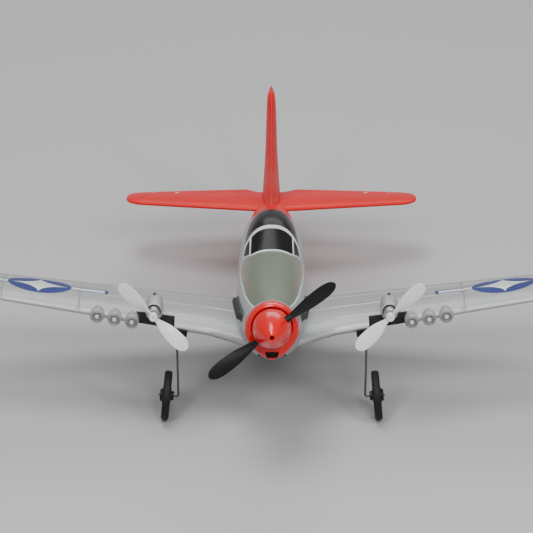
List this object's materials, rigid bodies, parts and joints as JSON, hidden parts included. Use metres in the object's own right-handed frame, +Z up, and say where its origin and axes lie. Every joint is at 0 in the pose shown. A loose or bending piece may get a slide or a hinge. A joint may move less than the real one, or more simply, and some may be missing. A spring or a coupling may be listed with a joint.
{
  "type": "rc foam airplane",
  "caption": "Low-wing foam model aeroplane with wing-mounted motors, wire landing gear, hinged tail surfaces and a battery hatch.",
  "frame": {"origin": "centre of the overall box at the level of the floor the wheels stand on", "axes": "+X to the aeroplane's own left, +Y aft towards the tail, +Z up; standing on its three wheels, nose up"},
  "size_m": [0.48, 0.4162, 0.1295],
  "materials": {
    "silver_foam": "painted expanded foam, fine bead texture",
    "red_foam": "painted expanded foam, satin",
    "red_plastic": "moulded gloss plastic",
    "olive_plastic": "painted satin panel",
    "black_canopy": "glossy thin formed shell",
    "black_plastic": "moulded satin plastic",
    "light_grey_plastic": "moulded satin plastic",
    "grey_plastic": "moulded satin plastic",
    "white_plastic": "moulded semi-gloss plastic",
    "steel_wire": "drawn wire and pressed steel",
    "brass_bush": "turned",
    "blue_wrap": "shrink wrap",
    "board_green": "circuit board with parts",
    "black_tyre": "moulded foam rubber"
  },
  "bodies": {
    "airframe": {"fuselage_left": "silver_foam", "fuselage_right": "silver_foam", "rear_fuselage": "red_foam", "cowl_ring": "red_plastic", "chin_intake": "black_plastic", "nose_deck": "olive_plastic", "canopy_shell": "black_canopy", "windshield_frame": "light_grey_plastic", "exhaust_left": "black_plastic", "exhaust_right": "black_plastic", "wing_left": "silver_foam", "wing_right": "silver_foam", "wing_spar": "grey_plastic", "gun_muzzles": "grey_plastic", "gun_cores": "light_grey_plastic", "firewalls": "black_plastic", "motor_pod_left": "silver_foam", "motor_pod_right": "silver_foam", "motor_can_left": "steel_wire", "motor_can_right": "steel_wire", "motor_leads": "red_plastic", "gear_mount_left": "black_plastic", "gear_mount_right": "black_plastic", "gear_screws": "steel_wire", "gear_leg_left": "steel_wire", "gear_leg_right": "steel_wire", "tailplane": "red_foam", "fin": "red_foam", "elevator_hinges": "white_plastic", "rudder_hinges": "white_plastic", "tail_leg": "steel_wire", "nose_bush": "brass_bush", "battery_tray": "black_plastic", "battery": "blue_wrap", "battery_lead": "red_plastic", "receiver_board": "board_green", "antenna": "black_plastic", "switch_body": "black_plastic", "hatch_pin": "steel_wire"},
    "nose_spinner_set": {"spinner": "red_plastic", "spinner_plate": "red_plastic", "nose_propeller": "black_plastic", "nose_shaft": "steel_wire"},
    "left_propeller_set": {"propeller_left": "white_plastic", "motor_shaft_left": "steel_wire"},
    "right_propeller_set": {"propeller_right": "white_plastic", "motor_shaft_right": "steel_wire"},
    "left_wheel": {"tyre_left": "black_tyre", "wheel_hub_left": "black_plastic"},
    "right_wheel": {"tyre_right": "black_tyre", "wheel_hub_right": "black_plastic"},
    "tail_wheel_set": {"tail_wheel": "black_tyre"},
    "elevator": {"elevator_left": "red_foam", "elevator_right": "red_foam", "elevator_rod": "steel_wire"},
    "rudder_set": {"rudder": "red_foam"},
    "hatch": {"battery_hatch": "grey_plastic"},
    "switch_knob": {"switch_slider": "white_plastic"}
  },
  "joints": [
    {"name": "nose_propeller_spin", "type": "hinge", "parent": "airframe", "child": "nose_spinner_set", "pos_m": [0, -0.18815, 0.09611], "axis": [0, -0.9825, 0.1865], "continuous": true},
    {"name": "left_propeller_spin", "type": "hinge", "parent": "airframe", "child": "left_propeller_set", "pos_m": [0.0815, -0.13032, 0.07903], "axis": [0, -0.9825, 0.1865], "continuous": true},
    {"name": "right_propeller_spin", "type": "hinge", "parent": "airframe", "child": "right_propeller_set", "pos_m": [-0.0815, -0.13032, 0.07903], "axis": [0, -0.9825, 0.1865], "continuous": true},
    {"name": "left_wheel_spin", "type": "hinge", "parent": "airframe", "child": "left_wheel", "pos_m": [0.073, -0.12678, 0.01728], "axis": [0.9956, 0.0176, 0.0925], "continuous": true},
    {"name": "right_wheel_spin", "type": "hinge", "parent": "airframe", "child": "right_wheel", "pos_m": [-0.073, -0.12678, 0.01728], "axis": [0.9956, -0.0176, -0.0925], "continuous": true},
    {"name": "tail_wheel_spin", "type": "hinge", "parent": "airframe", "child": "tail_wheel_set", "pos_m": [0, 0.12583, 0.0075], "axis": [1, 0, 0], "continuous": true},
    {"name": "elevator_trim", "type": "hinge", "parent": "airframe", "child": "elevator", "pos_m": [0, 0.1652, 0.04329], "axis": [1, 0, 0], "range_deg": [-20, 20]},
    {"name": "rudder_trim", "type": "hinge", "parent": "airframe", "child": "rudder_set", "pos_m": [0, 0.17889, 0.06715], "axis": [0, 0.1865, 0.9825], "range_deg": [-20, 20]},
    {"name": "battery_hatch_open", "type": "hinge", "parent": "airframe", "child": "hatch", "pos_m": [0, -0.16624, 0.06808], "axis": [1, 0, 0], "range_deg": [-95, 0]},
    {"name": "power_switch_slide", "type": "slide", "parent": "airframe", "child": "switch_knob", "axis": [1, 0, 0], "range_m": [0, 0.0026]}
  ]
}
